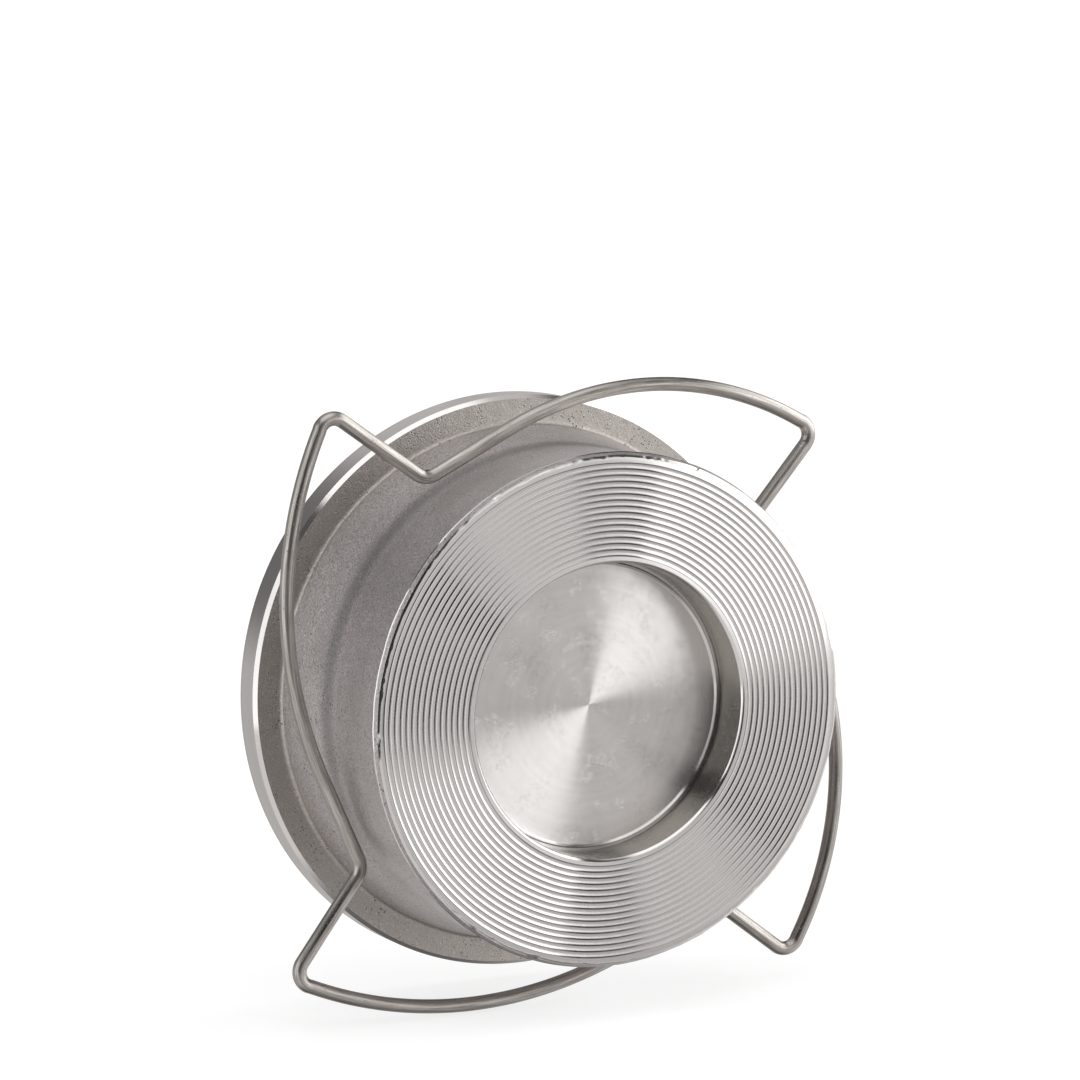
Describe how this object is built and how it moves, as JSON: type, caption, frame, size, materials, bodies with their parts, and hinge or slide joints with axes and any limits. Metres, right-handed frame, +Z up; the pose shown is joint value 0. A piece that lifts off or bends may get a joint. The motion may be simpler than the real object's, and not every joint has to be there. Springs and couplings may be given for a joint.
{
  "type": "wafer check valve",
  "caption": "Disc-type wafer check valve: a spring-closed disc seals the grooved inlet face's bore, and a bent-wire ring centres the body between pipe flanges.",
  "frame": {"origin": "on the flow axis, halfway between the inlet face and the outlet face", "axes": "+Y is the flow direction, from the inlet face to the outlet face; +Z is up with the valve in a horizontal pipe; +X is to the right when looking along the flow"},
  "size_m": [0.1018, 0.04, 0.1018],
  "materials": {
    "body_casting": "investment-cast flank, turned and grooved inlet face, turned rim and outlet face",
    "disc_steel": "fine face-turned",
    "spring_steel": "drawn spring wire and strip",
    "pressed_steel": "pressed sheet, tumbled",
    "ring_wire": "drawn wire, satin, darker in the bends"
  },
  "bodies": {
    "body": {"valve_body": "body_casting", "closing_spring": "spring_steel", "spring_retainer": "pressed_steel", "retaining_ring": "spring_steel"},
    "disc": {"valve_disc": "disc_steel"},
    "ring": {"centring_ring": "ring_wire"}
  },
  "joints": [
    {"name": "disc_lift", "type": "slide", "parent": "body", "child": "disc", "axis": [0, 1, 0], "range_m": [0, 0.01], "stiffness_N_per_m": 345, "springref_m": -0.0105, "deforming": ["closing_spring"]},
    {"name": "centring_ring_turn", "type": "hinge", "parent": "body", "child": "ring", "pos_m": [0, -0.0031, 0], "axis": [0, 1, 0], "continuous": true}
  ]
}
